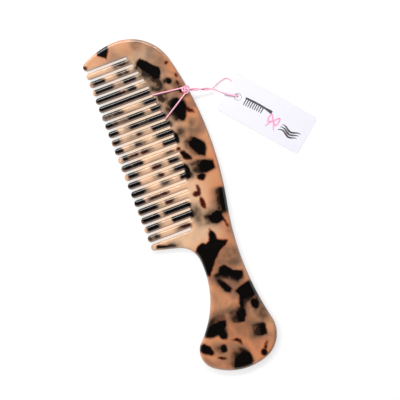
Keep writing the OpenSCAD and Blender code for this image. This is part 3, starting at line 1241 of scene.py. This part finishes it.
# String ----------------------------------------------------------------------
def eased(points: Array, cut: float, steps: int) -> Array:
    """Polyline with its inner corners rounded.

    Each corner p1 between p0 and p2 becomes the points
    (1-t)^2 a + 2t(1-t) p1 + t^2 b, where a and b lie up to `cut` from p1
    towards p0 and p2.

    Args:
        points: Corners, one row each.
        cut: Most that is taken from each side of a corner.
        steps: Pieces in each rounded corner.

    Returns:
        The rounded line's points.
    """
    p0, p1, p2 = points[:-2], points[1:-1], points[2:]
    before, after = p0 - p1, p2 - p1
    lb = np.linalg.norm(before, axis=1, keepdims=True)
    la = np.linalg.norm(after, axis=1, keepdims=True)
    a = (p1 + before / lb * np.minimum(cut, 0.48 * lb))[:, None]
    b = (p1 + after / la * np.minimum(cut, 0.48 * la))[:, None]
    t = np.linspace(0, 1, steps + 1)[None, :, None]
    bends = (1 - t) ** 2 * a + 2 * t * (1 - t) * p1[:, None] + t**2 * b
    return np.concatenate([points[:1], bends.reshape(-1, 3), points[-1:]])


def evenly(points: Array, step: float) -> Array:
    """The same line with points about `step` apart, by its own length."""
    run = np.concatenate([[0], np.cumsum(np.linalg.norm(np.diff(points, axis=0), axis=1))])
    at = np.linspace(0, run[-1], math.ceil(run[-1] / step) + 1)
    return np.stack([np.interp(at, run, points[:, i]) for i in range(3)], axis=1)


def line_length(points: Array) -> float:
    """Length of a polyline."""
    return float(np.linalg.norm(np.diff(points, axis=0), axis=1).sum())


def softened(points: Array, passes: int) -> Array:
    """The line with each inner point moved to the mean of its neighbours and itself."""
    for _ in range(passes):
        inner = (points[:-2] + 2 * points[1:-1] + points[2:]) / 4
        points = np.concatenate([points[:1], inner, points[-1:]])
    return points


@dataclass
class TwineRun:
    """Three-ply twine along a line."""

    diameter: float = 0.8
    sides: int = 18
    pitch: float = 2.4
    spacing: float = 0.22
    lobe: float = 0.13

    def surface(self, line: Array, start: int) -> tuple[Array, list, Array]:
        """Surface of the twine round a line.

        At distance s along the line and angle a round it, the radius is
        r * (1 - lobe + lobe * |cos(1.5 * (a - 2 pi s / pitch))|), which gives
        three plies that turn once in each pitch.

        Args:
            line: Points of the centreline, in comb millimetres.
            start: Number of its first point in the piece.

        Returns:
            Points, faces and the groove value of each point.
        """
        line = evenly(line, self.spacing)
        tangent = unit(np.gradient(line, axis=0))
        side = self.carried(tangent)
        other = np.cross(tangent, side)
        s = np.linspace(0, line_length(line), len(line))[:, None]
        a = np.arange(self.sides)[None] * 2 * math.pi / self.sides
        ply = np.abs(np.cos(1.5 * (a - 2 * math.pi * s / self.pitch)))
        radius = self.diameter / 2 * (1 - self.lobe + self.lobe * ply)
        round_it = np.cos(a)[..., None] * side[:, None] + np.sin(a)[..., None] * other[:, None]
        rings = line[:, None] + radius[..., None] * round_it
        count = len(line) * self.sides
        points = np.concatenate([rings.reshape(-1, 3), line[:1], line[-1:]])
        first = start + np.arange(self.sides)
        last = first + count - self.sides
        middle = np.full(self.sides, start + count)
        start_cap = np.stack([np.roll(first, -1), first, middle], 1)
        end_cap = np.stack([last, np.roll(last, -1), middle + 1], 1)
        faces = grid_faces(len(line), self.sides, start).tolist()
        faces += start_cap.tolist() + end_cap.tolist()
        # Weight of painted shade in the grooves between the plies
        groove_shade = np.concatenate([(1 - ply).ravel() ** 1.5, [0, 0]])
        return points, faces, groove_shade

    @staticmethod
    def carried(tangent: Array) -> Array:
        """Side directions carried along the line without twisting."""
        start = np.array([0.3, 0.2, 1.0])
        sides = [unit(start - (start @ tangent[0]) * tangent[0])]
        for t in tangent[1:]:
            sides.append(unit(sides[-1] - (sides[-1] @ t) * t))
        return np.array(sides)

    def piece(self, name: str, *lines: Array) -> bpy.types.Object:
        """One piece of twine along each line.

        Args:
            name: Name of the piece.
            *lines: Centrelines, in comb millimetres.

        Returns:
            The piece, not yet riding on anything.
        """
        points, faces, grooves, start = [], [], [], 0
        for line in lines:
            p, f, g = self.surface(line, start)
            points.append(p)
            grooves.append(g)
            faces += f
            start += len(p)
        return new_piece(
            name, np.concatenate(points), faces, {"groove_shade": np.concatenate(grooves)}
        )


@dataclass
class StringLayout:
    """Where the string leaves the comb, and where its knot lies.

    face_z is the ground face beside the slots, under_z the height of the
    string's middle under the teeth, and grind_end where the grinding ends.
    """

    plan: CombPlan
    diameter: float = 0.8
    slot_in: int = 12
    teeth_held: int = 3
    face_z: float = 3.7
    under_z: float = 0.45
    sheet_t: float = 4.6
    grind_end: float = 42.2
    knot_d: float = 4.3
    knot_h: float = 2.6
    knot_in: float = 3.3
    knot_up: float = 3.5
    knot_gap: float = 0.05

    def pin(self, i: int) -> Array:
        """Plan of the string's middle where it passes through slot i."""
        return np.array([self.plan.slot_end(i) - self.diameter / 2 - 0.1, self.plan.slot_y(i)])

    @property
    def low_pin(self) -> Array:
        """The lower of the two places."""
        return self.pin(self.slot_in)

    @property
    def high_pin(self) -> Array:
        """The upper of the two places."""
        return self.pin(self.slot_in + self.teeth_held)

    @property
    def knot(self) -> Array:
        """Middle of the knot."""
        y = (self.low_pin[1] + self.high_pin[1]) / 2 + self.knot_up
        z = self.sheet_t + self.knot_gap + self.knot_h / 2
        return np.array([self.plan.head_width - self.knot_in, y, z])


@dataclass
class HoldingLoop:
    """The string from the knot, round three teeth and back to the knot."""

    at: StringLayout
    length: float = 0.054

    def strand(self, pin: Array, side: int) -> Array:
        """One strand from a slot across the back to the knot.

        Args:
            pin: Where it leaves the slot.
            side: 1 to meet the knot on its upper side, -1 on its lower side.

        Returns:
            Its three corners: past the slot, at the end of the grinding and in
            the knot.
        """
        lift, half = self.at.diameter / 2 + 0.08, self.at.knot_d / 2
        centre = self.at.knot[:2] - pin
        to = unit(centre + [-0.3, side * (half - self.at.diameter)])
        miss = centre[0] * to[1] - centre[1] * to[0]
        reach = centre @ to - math.sqrt(half**2 - miss**2) + 0.6
        slope = (self.at.grind_end - pin[0]) / to[0]
        flat = pin + np.array([[0.8], [slope], [reach]]) * to
        z = [self.at.face_z + lift + 0.15, self.at.sheet_t + lift, self.at.knot[2]]
        return np.column_stack([flat, z])

    def route(self) -> Array:
        """Centreline of the whole loop, in comb millimetres."""
        low, high = self.at.low_pin, self.at.high_pin
        z, top = self.at.under_z, self.at.face_z - 0.5
        through = [[*high, top], [*high, z], [*low, z], [*low, top]]
        corners = np.concatenate([self.strand(high, 1)[::-1], through, self.strand(low, -1)])
        return evenly(eased(corners, 0.9, 8), 0.3)

    def build(self, run: TwineRun) -> tuple[bpy.types.Object, Array]:
        """Builds the loop.

        Args:
            run: The twine.

        Returns:
            The piece and its centreline.
        """
        route = self.route()
        piece = run.piece("comb_loop", route)
        across = unit(self.at.low_pin - self.at.high_pin)
        hinge = np.array([*(self.at.low_pin + self.at.high_pin) / 2, self.at.face_z])
        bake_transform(piece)
        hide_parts("string_wrap", "string_strands")
        return piece, route


@dataclass
class Knot:
    """The small round knot that gathers the four strands."""

    at: StringLayout
    ring_r: float = 1.4
    swing: float = 0.55
    lift: float = 0.7
    core_r: float = 0.62

    def build(self, run: TwineRun) -> bpy.types.Object:
        """Builds the knot.

        The line goes twice round while it swings in and out and up and down
        three times: radius = ring + swing * cos(3t), angle 2t, height =
        lift * sin(3t). A second, smaller coil fills its middle.

        Args:
            run: The twine.

        Returns:
            The piece, riding on the bail.
        """
        t = np.linspace(0, 2 * math.pi, 160)
        radius = self.ring_r + self.swing * np.cos(3 * t)
        line = np.column_stack(
            [radius * np.cos(2 * t + 0.5), radius * np.sin(2 * t + 0.5), self.lift * np.sin(3 * t)]
        )
        coil = np.column_stack(
            [self.core_r * np.cos(2 * t), self.core_r * np.sin(2 * t), 0.5 * np.cos(t / 2)]
        )
        piece = run.piece("knot_twine", line + self.at.knot, coil + self.at.knot)
        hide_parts("knot")
        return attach(piece, "bail")


@dataclass
class TagPlace:
    """Where the card lies, and how it leans."""

    at: StringLayout
    reach_x: float = 24.4
    reach_y: float = 12.8
    turn: float = 50.0
    card_l: float = 49.0
    card_t: float = 0.4
    hole_in: float = 6.8
    near_z: float = 1.36

    @property
    def lean(self) -> float:
        """Slope of the card."""
        return (self.near_z - 0.02) / self.card_l

    @property
    def hole(self) -> Array:
        """Middle of the hole, at the card's underside."""
        x, y = self.at.knot[0] + self.reach_x, self.at.knot[1] - self.reach_y
        return np.array([x, y, 0.02 + (self.card_l - self.hole_in) * self.lean])

    def over(self, u: Array, v: Array, z: Array) -> Array:
        """Points at u along the card from the hole, v across it and height z."""
        c, s = math.cos(math.radians(self.turn)), math.sin(math.radians(self.turn))
        u, v, z = np.broadcast_arrays(np.asarray(u, float), v, z)
        return np.stack([self.hole[0] + u * c + v * s, self.hole[1] - u * s + v * c, z], axis=-1)

    def top(self, u: Array) -> Array:
        """Height of the card's face at u; it falls away from the hole."""
        return self.hole[2] + self.card_t - np.asarray(u, float) * self.lean


@dataclass
class TagLoop:
    """The string from the knot through the card's hole and back."""

    at: StringLayout
    tag: TagPlace
    length: float = 0.062
    twist_turns: float = 1.0
    twist_r: float = 0.41

    def neck(self, towards: Array) -> tuple[Array, Array]:
        """The two strands twisted round each other between knot and fork.

        With t from 0 to 1 along the neck, each strand lies twist_r away from
        its middle, at the angle 90 degrees + turns * t, the other opposite.

        Args:
            towards: Where the strands part.

        Returns:
            The two strands' points, from knot to fork.
        """
        start = self.at.knot + unit(towards - self.at.knot) * (self.at.knot_d / 2 - 0.35)
        t = np.linspace(0, 1, 40)[:, None]
        middle = start + t * (towards - start)
        along = unit(towards - start)
        side = unit(np.cross(along, [0, 0, 1]))
        up = np.cross(side, along)
        angle = math.pi / 2 + 2 * math.pi * self.twist_turns * t
        offset = self.twist_r * (np.cos(angle) * side + np.sin(angle) * up)
        return middle + offset, middle - offset

    def route(self) -> Array:
        """Centreline of the whole loop, in comb millimetres."""
        r, z = self.at.diameter / 2, self.at.under_z
        over, top = self.tag.over, self.tag.top
        fork = over(-13.7, -3, top(-13.7) + r + 0.3)
        upper, lower = self.neck(fork)
        near = over([-6.5, -1.8, 0], [-2, -0.4, 0], top([-6.5, 0, 0]) + r + [0.4, 0.35, 0])
        under = over([0, -6.5, -10.2, -12.6], [0, 5.6, 6.4, 2.4], z)
        bends = np.concatenate([upper[-1:], near, under, lower[-1:]])
        middle = eased(bends, 2.2, 10)[1:-1]
        whole = np.concatenate([upper, middle, lower[::-1]])
        return softened(evenly(whole, 0.3), 3)

    def build(self, run: TwineRun) -> tuple[bpy.types.Object, Array]:
        """Builds the loop.

        Args:
            run: The twine.

        Returns:
            The piece, riding on its body, and its centreline.
        """
        route = self.route()
        piece = run.piece("tag_string", route)
        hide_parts("tag_loop")
        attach(piece, "loop")
        return piece, route


# Tag -------------------------------------------------------------------------
@dataclass
class Stroke:
    """A printed stroke: a line on the card with a width at each point."""

    u: Array
    v: Array
    width: Array


@dataclass
class TagPrint:
    """The print on the card: a comb, a bow and strands of hair, and painted shade round the hole."""

    tag: TagPlace
    film: float = 0.02
    layer: float = 0.002
    hole_shade_r: float = 1.88
    hole_shade_w: float = 0.3

    def comb_strokes(self) -> list[Stroke]:
        """A small comb with its teeth down: a back, a handle and nine teeth."""
        t = np.linspace(0, 1, 24)
        back = Stroke(4.0 + 15.8 * t, 1.5 + 0.4 * np.sin(math.pi * t), 1.1 + 0.7 * ease(0.7, 1, t))
        fall = np.linspace(0, 1, 8)
        teeth = [
            Stroke(np.full(8, 4.6 + 1.25 * k), 1.6 - (4.0 - 0.1 * k) * fall, 0.66 - 0.2 * fall)
            for k in range(9)
        ]
        return [back, *teeth]

    def hair_strokes(self) -> list[Stroke]:
        """Three strands of wavy hair, thick in the middle."""
        t = np.linspace(0, 1, 60)
        swell = 0.3 + 0.7 * np.sin(math.pi * t)
        return [
            Stroke(26.8 + 0.4 * k + 11 * t, -4.6 + 1.4 * k + 0.8 * np.sin(7.5 * t + 0.4 * k), swell)
            for k in range(3)
        ]

    def bow_strokes(self) -> list[Stroke]:
        """A ribbon bow: two loops and two tails from a small knot."""
        t = np.linspace(0, 1, 48)
        turn = 2 * math.pi * t
        strokes = []
        for side in (-1, 1):
            loop_u = 22.5 + side * 2.9 * np.sin(turn / 2) ** 0.8
            loop_v = -2.0 + 2.1 * np.sin(turn) + 1.0 * np.sin(turn / 2)
            strokes.append(Stroke(loop_u, loop_v, np.full(48, 0.85)))
            tail_u = 22.5 + side * (0.2 + 2.2 * t)
            strokes.append(Stroke(tail_u, -2.2 - 4.0 * t**1.3, 0.9 - 0.3 * t))
        strokes.append(Stroke(22.5 + 0.0 * t, -2.7 + 1.3 * t, np.full(48, 1.4)))
        return strokes

    def hole_shade_stroke(self) -> Stroke:
        """Painted shade of the hole: a ring round it."""
        turn = np.linspace(0, 2 * math.pi, 49)
        return Stroke(self.hole_shade_r * np.cos(turn), self.hole_shade_r * np.sin(turn), np.full(49, self.hole_shade_w))

    def film_of(self, name: str, strokes: list[Stroke], ink: Ink) -> bpy.types.Object:
        """Lays strokes on the card.

        Each stroke is a band of points line +- width / 2 * normal, a little
        above the card and above the stroke before it.

        Args:
            name: Name of the piece.
            strokes: Strokes to lay down.
            ink: Their colour.

        Returns:
            The piece, riding on the tag.
        """
        points, faces, start = [], [], 0
        for number, stroke in enumerate(strokes):
            line = np.column_stack([stroke.u, stroke.v])
            normal = unit(np.gradient(line, axis=0))[:, ::-1] * [-1, 1]
            sides = np.stack([line + s * stroke.width[:, None] / 2 * normal for s in (-1, 1)], 1)
            u, v = sides[..., 0].ravel(), sides[..., 1].ravel()
            z = self.tag.top(u) + self.film + self.layer * number
            points.append(self.tag.over(u, v, z))
            quads = grid_faces(len(line), 2, start, wrap=False)
            faces += quads[:, ::-1].tolist()
            start += len(u)
        piece = new_piece(name, np.concatenate(points), faces)
        self.face_up(piece)
        piece.data.materials.append(ink.material())
        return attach(piece, "tag")

    @staticmethod
    def face_up(piece: bpy.types.Object) -> None:
        """Turns the film over if its faces look down."""
        normals = np.zeros(len(piece.data.polygons) * 3, np.float32)
        piece.data.polygons.foreach_get("normal", normals)
        if normals.reshape(-1, 3)[:, 2].mean() < 0:
            piece.data.flip_normals()

    def build(self) -> list[bpy.types.Object]:
        """Builds the print.

        Returns:
            The films: a greyish-pink ring of painted shade round the hole, dark grey and pink.
        """
        grey = Ink("ink_grey", srgb(72, 68, 72))
        pink = Ink("ink_pink", srgb(226, 150, 182))
        hole_shade_ink = Ink("ink_hole_shade", srgb(172, 150, 166))
        return [
            # Painted shade of the hole's punched rim
            self.film_of("tag_hole_shade", [self.hole_shade_stroke()], hole_shade_ink),
            self.film_of("tag_print_grey", self.comb_strokes() + self.hair_strokes(), grey),
            self.film_of("tag_print_pink", self.bow_strokes(), pink),
        ]


# Studio ----------------------------------------------------------------------
@dataclass(frozen=True)
class Softbox:
    """One soft light: its direction in the camera's frame, size and power.

    A box that isn't mirrored lights the comb, but doesn't show in its polish.
    """

    name: str
    around: float
    off_axis: float
    wide: float
    high: float
    watts: float
    mirrored: bool = True
    distance: float = 0.75


@dataclass
class Studio:
    """Pale floor, soft lights and a camera that looks straight down.

    The view is frame_width wide at the height focus_z, half-way up the sheet.
    """

    middle: tuple[float, float] = (0.0082, -0.0012)
    turn: float = -20.7
    frame_width: float = 0.2106
    focus_z: float = 0.0023
    lens: float = 85.0
    sensor: float = 36.0
    floor_z: float = -0.00006
    floor_side: float = 6.0
    sky: Colour = (0.95, 0.97, 1.0, 1.0)
    sky_glow: float = 0.03
    boxes: tuple[Softbox, ...] = (
        Softbox("key_strip", 104, 42, 0.9, 0.15, 5.4),
        Softbox("key_spread", 158, 38, 0.6, 0.6, 2.9, mirrored=False),
        Softbox("left_fill", 200, 48, 0.9, 0.9, 2.6, mirrored=False),
        Softbox("right_fill", 20, 52, 0.3, 0.3, 0.5),
        Softbox("front_fill", -90, 50, 0.5, 0.3, 0.5),
    )

    def camera(self) -> bpy.types.Object:
        """Puts the camera above the comb and makes it the scene's."""
        data = bpy.data.cameras.new("camera")
        data.lens, data.sensor_width = self.lens, self.sensor
        camera = linked("camera", data)
        height = self.frame_width * self.lens / self.sensor + self.focus_z
        camera.location = (*self.middle, height)
        camera.rotation_euler = (0, 0, math.radians(self.turn))
        data.clip_start, data.clip_end = 0.01, 20
        bpy.context.scene.camera = camera
        return camera

    def light(self, box: Softbox) -> bpy.types.Object:
        """Hangs one softbox so that it faces the comb.

        Args:
            box: The softbox.

        Returns:
            Its light.
        """
        data = bpy.data.lights.new(box.name, "AREA")
        data.shape, data.size, data.size_y, data.energy = "RECTANGLE", box.wide, box.high, box.watts
        light = linked(box.name, data)
        light.visible_glossy = box.mirrored
        a, b = math.radians(box.around + self.turn), math.radians(box.off_axis)
        away = np.array([math.sin(b) * math.cos(a), math.sin(b) * math.sin(a), math.cos(b)])
        light.location = tuple(away * box.distance + [*self.middle, 0])
        light.rotation_euler = (b, 0, a + math.pi / 2)
        return light

    def build(self) -> None:
        """Lays the floor, hangs the lights and sets the sky's dim glow."""
        mesh = bpy.data.meshes.new("floor")
        half = self.floor_side / 2
        corners = [(-half, -half), (half, -half), (half, half), (-half, half)]
        mesh.from_pydata([(x, y, self.floor_z) for x, y in corners], [], [(0, 1, 2, 3)])
        mesh.materials.append(Paper().material())
        linked("floor", mesh)
        for box in self.boxes:
            self.light(box)
        world = bpy.data.worlds.new("studio")
        world.use_nodes = True
        glow = world.node_tree.nodes["Background"]
        glow.inputs["Color"].default_value = self.sky
        glow.inputs["Strength"].default_value = self.sky_glow
        bpy.context.scene.world = world
        bpy.context.scene.view_settings.view_transform = "Standard"


# Assembly --------------------------------------------------------------------
def main() -> None:
    """Builds every sub-assembly in order."""
    logging.basicConfig(level=logging.INFO, format="%(name)s: %(message)s")
    studio = Studio()
    studio.camera()
    plan = CombPlan()
    layout = StringLayout(plan)
    place = TagPlace(layout)
    run = TwineRun()
    twine = Twine().material()

    holding, tying = HoldingLoop(layout), TagLoop(layout, place)
    comb_loop, comb_line = holding.build(run)
    knot = Knot(layout).build(run)
    tag_string, tag_line = tying.build(run)
    for piece in (comb_loop, knot, tag_string):
        piece.data.materials.append(twine)
    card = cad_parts["swing_tag"]
    log.info("holding loop, %.1f mm", line_length(comb_line))
    log.info("tag loop, %.1f mm", line_length(tag_line))
    placed([*layout.high_pin, layout.face_z])

    comb = Comb(plan)
    sheet = comb.build()
    comb.dress(sheet, Acetate())
    log.info("comb, %d points", len(sheet.data.vertices))

    card.data.materials.clear()
    card.data.materials.append(Card().material())
    for film in TagPrint(place).build():
        log.info("%s, %d faces", film.name, len(film.data.polygons))
    studio.build()


if __name__ == "__main__":
    main()
